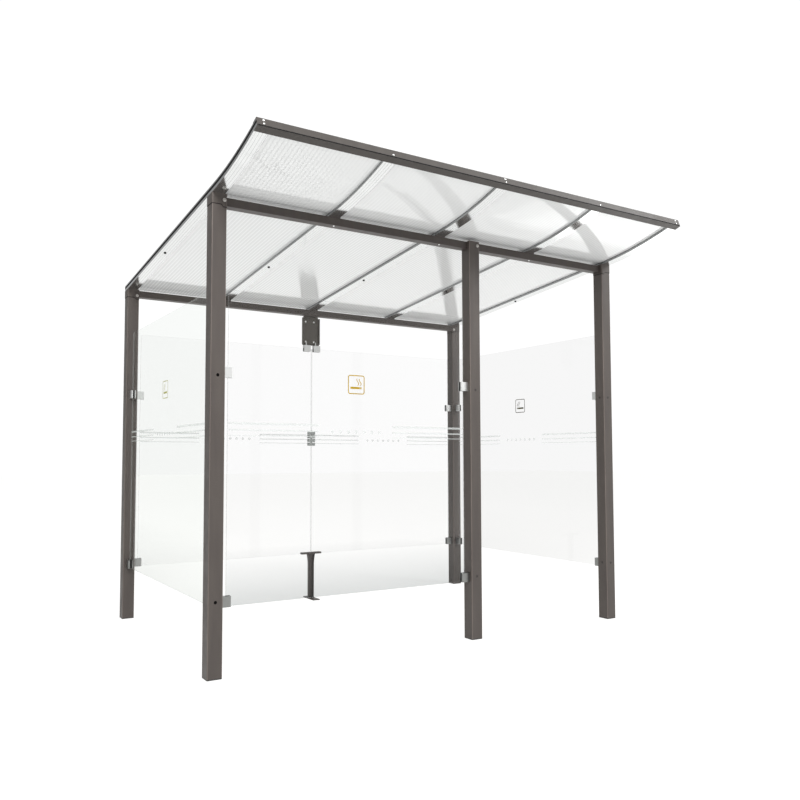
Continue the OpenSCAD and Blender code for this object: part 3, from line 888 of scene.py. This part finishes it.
@dataclass(frozen=True)
class Structure(SubAssembly):
    """Posts, caps, beams and pads, with the bolts that join them."""

    cap_bolt: ScrewHead = ScrewHead(0.0092, 0.0052)
    cap_bolt_inset: float = 0.0145  # from the cap's beam side to its bolt
    cap_bolt_below: float = 0.021  # from the front beam's top down to the bolts at the front
    rear_bolt_below: float = 0.031  # from the rear beam's top down to the bolts at the rear
    clamp_bolt: ScrewHead = ScrewHead(0.0074, 0.0012)  # bolt that holds a clamp through its post
    clamp_bolt_heights: Pair = (1.336, 0.334)  # how high these bolts sit
    # The screw that holds a saddle from under the front beam.
    beam_screw: ScrewHead = ScrewHead(0.005, 0.004, Recess.NONE)
    beam_screw_inset: float = 0.009  # how far it sits behind the beam's front
    beam_screw_aside: float = 0.004  # how far it sits to the left of the bar's middle
    cap_proud: float = 0.0015  # how far a cap stands out from its post
    shadow_band_depth: float = 0.003  # height of the black band of painted shade under a cap
    # How far outside the post the band starts and ends, which is within the cap's wall.
    shadow_band_reach: Pair = (-0.0003, 0.0008)
    corner: float = 0.005  # radius of a post's corners
    corner_steps: int = 4  # how many stretches a band has round a corner
    side_steps: int = 30  # how many it has along a side, so that it follows the curve of a cap's tongue

    def finishes(self) -> dict[Finish, tuple[str, ...]]:
        """Returns the coats, and the pads' plastic."""
        return {
            POST_COAT: ("post_", "door_post_lid", "rear_beam", "rear_saddles"),
            SHADED_CAP_COAT: ("cap_",),
            SHADED_BEAM_COAT: ("front_beam", "front_saddles"),
            PAD_PLASTIC: ("foot_pads",),
        }

    def pieces(self) -> None:
        """Adds the bolts, the screws and the black bands of painted shade under the caps."""
        self.cap_bolts()
        self.clamp_bolts()
        self.beam_screws()
        self.cap_shadow_bands()

    def cap_bolts(self) -> None:
        """Adds the plated bolts through the caps and the door post."""
        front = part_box("front_beam_left")[1].z - self.cap_bolt_below
        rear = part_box("rear_beam")[1].z - self.rear_bolt_below
        heights = dict.fromkeys(("cap_front_left", "post_door"), front)
        heights |= dict.fromkeys(("cap_rear_left", "cap_rear_right"), rear)
        places = []
        for node, z in heights.items():
            low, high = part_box(node)
            x = low.x + self.cap_bolt_inset if node == "cap_rear_right" else high.x - self.cap_bolt_inset
            places.append(self.frame.stand(node, Vector((x, low.y, z)), BACK))
        self.cap_bolt.piece("cap_bolts", places, ZINC_PLATE, "clamp_metal")

    def clamp_bolts(self) -> None:
        """Adds the bolts that hold the clamps through the posts, bare on the left and painted elsewhere."""
        sides = {
            "post_front_left": (BACK,), "post_door": (BACK,), "post_front_right": (BACK, RIGHT),
            "post_rear_left": (FORWARD,), "post_rear_right": (FORWARD,),
        }
        bare, painted = [], []
        for node, ways in sides.items():
            middle = middle_of(node)
            places = bare if node.endswith("left") else painted
            for way in ways:
                for z in self.clamp_bolt_heights:
                    places.append(self.frame.stand(node, Vector((middle.x, middle.y, z)), way))
        self.clamp_bolt.piece("clamp_bolts_bare", bare, BLACK_STEEL, "black_rubber")
        self.clamp_bolt.piece("clamp_bolts_painted", painted, SHADED_BOLT_COAT, "post_paint")

    def beam_screws(self) -> None:
        """Adds a screw under the front beam for each saddle between the posts."""
        places = []
        for bar in BARS[1:-1]:
            x = middle_of(bar).x
            beam = "front_beam_left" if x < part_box("front_beam_left")[1].x else "front_beam_right"
            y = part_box(beam)[0].y + self.beam_screw_inset
            places.append(self.frame.stand(beam, Vector((x - self.beam_screw_aside, y, 0)), UP))
        self.beam_screw.piece("beam_screws", places, STAINLESS, "clamp_metal")

    def around(self, post: str, proud: float) -> list[Vector]:
        """Returns points round a post's section, at height 0.

        Args:
            post: The post's node.
            proud: How far the points lie outside its surface.

        Returns:
            The points, in order, about 2 mm apart.
        """
        low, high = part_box(post)
        middle, half = (low + high) / 2, (high - low) / 2
        turns = rounded(half.x + proud, half.y + proud, self.corner + proud, self.corner_steps)
        turns = [Vector((middle.x + x, middle.y + y, 0)) for x, y in turns]
        points = []
        for i, point in enumerate(turns):
            points.append(point)
            if i % (self.corner_steps + 1) == self.corner_steps:
                after = turns[(i + 1) % len(turns)]
                points += [point.lerp(after, k / self.side_steps) for k in range(1, self.side_steps)]
        return points

    def cap_shadow_bands(self) -> None:
        """Adds a black band under each cap, which follows the cap's lower edge: a dark piece that stands for
        the shadow gap between cap and post, painted shade.
        """
        shape = bmesh.new()
        inside, outside = self.shadow_band_reach
        for node in ("cap_front_left", "cap_front_right", "cap_rear_left", "cap_rear_right"):
            post = node.replace("cap", "post")
            under = self.around(post, self.cap_proud / 2)
            edge = [self.frame.surface(node, point, UP)[0].z for point in under]
            rings = []
            deep = self.shadow_band_depth
            for proud, drop in ((inside, 0), (outside, 0), (outside, deep), (inside, deep)):
                rings.append([p + UP * (z - drop) for p, z in zip(self.around(post, proud), edge)])
            skin(shape, rings, hoop=True)
        make_piece("cap_shadow_bands", shape, RUBBER)


# ---------- roof


@dataclass(frozen=True)
class Roof(SubAssembly):
    """Glazing bars, fluted sheets, gaskets and the front channel, with their screws."""

    bar_screw: ScrewHead = ScrewHead(0.0075, 0.0045)
    bar_screw_share: float = 0.542  # its place, as a share of the way from the front beam to the rear one
    # The silver screws that hold the channel to the bars.
    channel_screw: ScrewHead = ScrewHead(0.005, 0.003, Recess.NONE)
    # The upper and the lower screw's place, down the face from the channel's top edge.
    channel_screw_depths: Pair = (0.0095, 0.0265)
    face_depth: float = 0.02  # where the channel's face is surely flat, below its top edge
    # Where the channel's black strip of painted shade starts and ends, above its lower front corner.
    shadow_strip_span: Pair = (0.0006, 0.0072)
    shadow_strip_proud: float = 0.0004  # how far the strip stands out
    shadow_strip_inset: float = 0.0005  # how far it reaches into the face, and stays short of the channel's ends

    def finishes(self) -> dict[Finish, tuple[str, ...]]:
        """Returns the roof's metal, sheet, rubber and coat."""
        return {
            BAR_METAL: ("glazing_bar", "support_bar", "sheet_end_trims"),
            OPAL_SHEET: ("roof_sheet",),
            RUBBER: ("bar_gaskets",),
            SHADED_CHANNEL_COAT: ("front_channel",),
        }

    def pieces(self) -> None:
        """Adds the screws and the strip of painted shade."""
        self.under_bars()
        self.on_channel()
        self.channel_shadow_strip()

    def under_bars(self) -> None:
        """Adds one black screw under the middle of each bar."""
        front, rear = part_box("front_beam_left")[0].y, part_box("rear_beam")[0].y
        y = front + (rear - front) * self.bar_screw_share
        places = [self.frame.stand(bar, Vector((middle_of(bar).x, y, 0)), UP) for bar in BARS]
        self.bar_screw.piece("bar_screws", places, BLACK_STEEL, "black_rubber")

    def channel_face(self, x: float, below: float) -> tuple[Vector, Vector]:
        """Finds a place on the channel's front face.

        Args:
            x: Its place across.
            below: Its height below the channel's top edge.

        Returns:
            The point, and the way out of the face.
        """
        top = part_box("front_channel")[1].z
        return self.frame.surface("front_channel", Vector((x, 0, top - below)), BACK)

    def on_channel(self) -> None:
        """Adds the channel's screws: pairs at the edges and the middle, and single ones between."""
        _, out = self.channel_face(0, self.face_depth)
        fall = RIGHT.cross(out).normalized()
        near_top = 0.003
        places = []
        for i, bar in enumerate(BARS):
            start = self.channel_face(middle_of(bar).x, near_top)[0] - fall * (near_top / abs(fall.z))
            for depth in self.channel_screw_depths[i % 2 :]:
                places.append(stand_on(start + fall * depth, out))
        self.channel_screw.piece("channel_screws", places, STAINLESS, "clamp_metal")

    def channel_shadow_strip(self) -> None:
        """Adds a thin black strip along the lower front corner of the channel: a dark piece that stands for
        the shadow line there, painted shade.
        """
        low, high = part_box("front_channel")
        _, out = self.channel_face(0, self.face_depth)
        rise = out.cross(RIGHT)
        just_inside = Vector((0, low.y + 0.0002, 0))
        corner = self.frame.surface("front_channel", just_inside, UP)[0]
        corner.x = low.x + self.shadow_strip_inset
        start, stop = self.shadow_strip_span
        outer, inner = self.shadow_strip_proud, -self.shadow_strip_inset
        section = ((start, outer), (stop, outer), (stop, inner), (start, inner))
        shape = bmesh.new()
        outline = [corner + rise * up + out * proud for up, proud in section]
        prism(shape, outline, RIGHT * (high.x - low.x - 2 * self.shadow_strip_inset))
        make_piece("channel_shadow_strip", shape, RUBBER)


# ---------- glass walls


class Pane(Enum):
    """The panes that carry film, by their node's name."""

    FRONT = "glass_front"
    LEFT = "glass_left"
    RIGHT = "glass_right"
    REAR_LEFT = "glass_rear_left"
    REAR_RIGHT = "glass_rear_right"

    def outward(self) -> Vector:
        """Returns the way that the pane's outer face looks."""
        return {Pane.FRONT: FORWARD, Pane.LEFT: LEFT, Pane.RIGHT: RIGHT}.get(self, BACK)


@dataclass(frozen=True)
class PaneFace:
    """The outer face of a pane, with its own directions."""

    origin: Vector  # middle of the face, on the ground
    along: Vector  # direction that its width runs, to the right for someone who looks at it
    out: Vector  # direction that it faces
    width: float

    @classmethod
    def of(cls, pane: Pane) -> PaneFace:
        """Returns the outer face of a pane.

        Args:
            pane: The pane that takes it.

        Returns:
            The face, with its own directions.
        """
        low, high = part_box(pane.value)
        out = pane.outward()
        along = UP.cross(out)
        middle = (low + high) / 2
        outer = high if sum(out) > 0 else low
        origin = Vector((outer.x, middle.y, 0)) if out.x else Vector((middle.x, outer.y, 0))
        return cls(origin, along, out, abs((high - low).dot(along)))

    def point(self, across: float, height: float) -> Vector:
        """Returns a point on the face, by its place across the pane and its height above the ground."""
        return self.origin + self.along * across + UP * height

    def oblong(self, left: float, right: float, low: float, high: float) -> list[Vector]:
        """Returns the corners of an oblong on the face, by its sides across and its heights."""
        return [self.point(a, z) for a, z in ((left, low), (right, low), (right, high), (left, high))]


@dataclass(frozen=True)
class FilmStripes:
    """Three frosted stripes on both sides of a row of frosted dots."""

    heights: tuple[float, ...] = (1.124, 1.094, 1.068)  # middle of each stripe above the ground
    widths: tuple[float, ...] = (0.010, 0.007, 0.0045)
    gap: float = 0.21  # half the space that is left for the dots
    margin: float = 0.004  # space between a stripe's end and the pane's edge
    thickness: float = 0.0002
    dot_radius: float = 0.009
    dot_sides: int = 20
    dot_pitch: float = 0.045
    dots: int = 7

    def add_to(self, pane: Pane) -> None:
        """Lays the film on a pane.

        Args:
            pane: The pane that takes it.
        """
        face = PaneFace.of(pane)
        shape = bmesh.new()
        end = face.width / 2 - self.margin
        outlines = []
        for height, width in zip(self.heights, self.widths):
            for start, stop in ((-end, -self.gap), (self.gap, end)):
                outlines.append(face.oblong(start, stop, height - width / 2, height + width / 2))
        angles = [math.tau * i / self.dot_sides for i in range(self.dot_sides)]
        round_dot = [(self.dot_radius * math.cos(a), self.dot_radius * math.sin(a)) for a in angles]
        for i in range(self.dots):
            across = (i - (self.dots - 1) / 2) * self.dot_pitch
            outlines.append([face.point(across + a, self.heights[1] + z) for a, z in round_dot])
        for outline in outlines:
            prism(shape, outline, face.out * self.thickness)
        make_piece(f"film_{pane.value}", shape, FROSTED_FILM)


@dataclass(frozen=True)
class SmokingLabel:
    """A plain pictogram: a bar and two curls of smoke in a round-cornered frame."""

    size: float = 0.095  # outer side of its frame
    height: float = 1.330  # its middle above the ground
    line: float = 0.0048  # width of the frame's line, and of a curl where it is widest
    corner: float = 0.012  # outer radius of its corners
    corner_steps: int = 6
    thickness: float = 0.0003
    curls: Pair = (0.008, 0.022)  # foot of each curl, across from the middle
    sway: float = 0.0055  # how far a curl swings to each side
    smoke: Pair = (-0.005, 0.031)  # a curl's foot and top, above the middle
    curl_steps: int = 16
    # The ends of the bar's two lengths, across from the middle.
    bars: tuple[Pair, ...] = ((-0.034, 0.020), (0.0225, 0.030))
    bar: Pair = (-0.0215, -0.011)  # its lower and upper edge, above the middle

    def outline(self, face: PaneFace, inset: float) -> list[Vector]:
        """Returns the frame's outer outline, or one that lies inside it by inset.

        Args:
            face: The pane's face.
            inset: How far the outline lies inside the frame's outer one.

        Returns:
            The outline's points, in order.
        """
        half = self.size / 2 - inset
        points = rounded(half, half, self.corner - inset, self.corner_steps)
        return [face.point(across, self.height + z) for across, z in points]

    def curl(self, face: PaneFace, foot: float, hand: int) -> tuple[list[Vector], list[Vector]]:
        """Returns the two sides of one curl of smoke.

        Args:
            face: The pane's face.
            foot: The curl's foot across the label.
            hand: 1, or -1 where the curl is mirrored.

        Returns:
            The points of its left and right side.
        """
        sides: tuple[list[Vector], list[Vector]] = ([], [])
        turns, widest, thinning = 0.9, 0.45, 0.6
        low, high = self.smoke
        for i in range(self.curl_steps + 1):
            share = i / self.curl_steps
            middle = hand * (foot + math.sin(share * math.tau * turns) * self.sway)
            half = self.line * (1 - thinning * abs(share - widest)) / 2
            for side, sign in zip(sides, (-1, 1)):
                side.append(face.point(middle + sign * half, self.height + low + share * (high - low)))
        return sides

    def add_to(self, pane: Pane, line: Finish, bar: Finish, hand: int = 1) -> None:
        """Lays the label on a pane.

        Args:
            pane: The pane that takes it.
            line: The film of the frame and the smoke.
            bar: The film of the bar.
            hand: 1, or -1 for a mirrored label.
        """
        face = PaneFace.of(pane)
        depth = face.out * self.thickness
        shape = bmesh.new()
        band(shape, self.outline(face, self.line), self.outline(face, 0), depth, closed=True)
        for foot in self.curls:
            band(shape, *self.curl(face, foot, hand), depth, closed=False)
        make_piece(f"label_{pane.value}", shape, line)
        shape = bmesh.new()
        low, high = (self.height + edge for edge in self.bar)
        for start, stop in self.bars:
            prism(shape, face.oblong(hand * start, hand * stop, low, high), depth)
        make_piece(f"label_bar_{pane.value}", shape, bar)


@dataclass(frozen=True)
class GlassWalls(SubAssembly):
    """The panes with their clamps, linings, film and labels."""

    stripes: FilmStripes = FilmStripes()
    label: SmokingLabel = SmokingLabel()

    def finishes(self) -> dict[Finish, tuple[str, ...]]:
        """Returns the glass of each wall, and the clamps' metal and rubber."""
        return {
            FRONT_GLASS: ("glass_front",),
            REAR_GLASS: ("glass_rear",),
            LEFT_GLASS: ("glass_left",),
            RIGHT_GLASS: ("glass_right",),
            CLAMP_METAL: ("clamps_", "hanging_clamps"),
            RUBBER: ("clamp_linings",),
        }

    def pieces(self) -> None:
        """Lays the stripes on every pane and the labels on three of them."""
        for pane in Pane:
            self.stripes.add_to(pane)
        self.label.add_to(Pane.FRONT, AMBER_FILM, AMBER_FILM)
        self.label.add_to(Pane.LEFT, PALE_FILM, MOSS_FILM, hand=-1)
        self.label.add_to(Pane.RIGHT, GREY_FILM, OLIVE_FILM)


# ---------- rear joint


@dataclass(frozen=True)
class RearJoint(SubAssembly):
    """The hanger, the clip and the stand at the joint of the rear panes."""

    screw: ScrewHead = ScrewHead(0.0062, 0.003, Recess.NONE)
    columns: Pair = (-0.040, 0.024)  # places across, from the hanger's middle
    rows: Pair = (0.037, 0.178)  # their depths below the rear beam's underside

    def finishes(self) -> dict[Finish, tuple[str, ...]]:
        """Returns the coats, and the clip's and the seat's own; the seat's comes after the stand's."""
        return {
            LIT_PLATE_COAT: ("hanger_plate",),
            SHADED_BEAM_COAT: ("stand",),
            RUBBER: ("stand_seat",),
            CLIP_PLASTIC: ("joint_clip",),
        }

    def pieces(self) -> None:
        """Adds the four screws of the hanger."""
        middle = middle_of("hanger_plate")
        under_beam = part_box("rear_beam")[0].z
        places = []
        for column in self.columns:
            for row in self.rows:
                through = Vector((middle.x + column, middle.y, under_beam - row))
                places.append(self.frame.stand("hanger_plate", through, BACK))
        self.screw.piece("hanger_screws", places, BRIGHT_ZINC, "clamp_metal")


# ---------- studio


@dataclass(frozen=True)
class SoftBox:
    """A square soft box."""

    name: str
    place: Triple
    aim: Triple  # point that it faces
    size: float
    power: float  # in watts

    def hang(self) -> None:
        """Adds the soft box to the scene."""
        lamp = bpy.data.lights.new(self.name, "AREA")
        lamp.size = self.size
        lamp.energy = self.power
        box = add_object(self.name, lamp)
        box.location = self.place
        way = Vector(self.aim) - Vector(self.place)
        box.rotation_euler = way.to_track_quat("-Z", "Y").to_euler()


@dataclass(frozen=True)
class Studio:
    """The paper floor, the soft light and the camera."""

    floor: float = 40.0  # half the floor's side
    # The camera's place, from the front left post's lower corner.
    eye: Triple = (-1.1554, -3.24706, 0.9673)
    yaw: float = 30.93  # its turn from the depth axis towards +X, in degrees
    pitch: float = 3.197  # its tilt above the horizon, in degrees
    lens: float = 34.51  # its focal length in millimetres
    sensor: float = 36.0  # its sensor's width in millimetres
    shift: Pair = (0.0457, 0.0187)  # sideways and upward shift of its view
    sky: float = 1.05  # strength of the light from behind and above the shelter
    # The share of it that comes from the camera's side, straight ahead and from its right.
    front: Pair = (0.45, 1.1)
    left: float = 0.42  # share of it that comes from the left
    # The soft boxes: three above, and one that lies on the floor on the right and shines up.
    boxes: tuple[SoftBox, ...] = (
        SoftBox("key", (-2.7, -4.4, 4.8), (0, 0, 1.2), 2.2, 330),
        SoftBox("fill", (4.2, -4.2, 4.9), (0, 0, 1.2), 2.2, 225),
        SoftBox("top", (0.5, 0.8, 5.5), (0, 0, 1.2), 3.5, 60),
        SoftBox("pad", (4.3, -0.2, 0.01), (4.3, -0.2, 1.0), 3.2, 32),
    )

    def build(self) -> None:
        """Sets up the camera, the floor and the light."""
        self.camera()
        self.ground()
        self.surroundings()
        for box in self.boxes:
            box.hang()

    def camera(self) -> None:
        """Sets up the camera."""
        data = bpy.data.cameras.new("view")
        data.sensor_width = self.sensor
        data.lens = self.lens
        data.shift_x, data.shift_y = self.shift
        camera = add_object("view", data)
        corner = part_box("post_front_left")[0]
        camera.location = (corner.x + self.eye[0], corner.y + self.eye[1], self.eye[2])
        camera.rotation_euler = (math.radians(90 + self.pitch), 0.0, math.radians(-self.yaw))
        bpy.context.scene.camera = camera
        bpy.context.scene.view_settings.view_transform = "Standard"

    def ground(self) -> None:
        """Lays the floor."""
        shape = bmesh.new()
        bmesh.ops.create_grid(shape, x_segments=1, y_segments=1, size=self.floor)
        mesh = bpy.data.meshes.new("floor")
        shape.to_mesh(mesh)
        shape.free()
        floor = add_object("floor", mesh)
        PAPER.put_on([floor])

    def surroundings(self) -> None:
        """Sets the white surroundings, dimmer in front and on the left."""
        world = bpy.data.worlds.new("studio")
        world.use_nodes = True
        tree = world.node_tree
        tree.nodes.clear()
        x, y = part(tree, "Generated", Axis.X), part(tree, "Generated", Axis.Y)
        front = add_node(tree, "MapRange", (x, 0.1, 0.8, *self.front))
        ahead = add_node(tree, "MapRange", (y, -0.2, 0.25, front, 1.0))
        beside = add_node(tree, "MapRange", (x, -0.4, 0.0, self.left, 1))
        share = add_node(tree, "Math", (ahead, beside), operation="MULTIPLY")
        strength = add_node(tree, "Math", (share, self.sky), operation="MULTIPLY")
        glow = add_node(tree, "Background", {"Color": WHITE, "Strength": strength})
        add_node(tree, "OutputWorld", {"Surface": glow})
        bpy.context.scene.world = world


def main() -> None:
    """Builds the shelter's looks, one sub-assembly after the other."""
    logging.basicConfig(level=logging.INFO, format="%(name)s: %(message)s")
    frame = Frame(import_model())
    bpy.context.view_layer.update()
    Studio().build()
    for group in (Structure(frame), Roof(frame), GlassWalls(frame), RearJoint(frame)):
        LOG.info("%s", type(group).__name__)
        group.build()


if __name__ == "__main__":
    main()
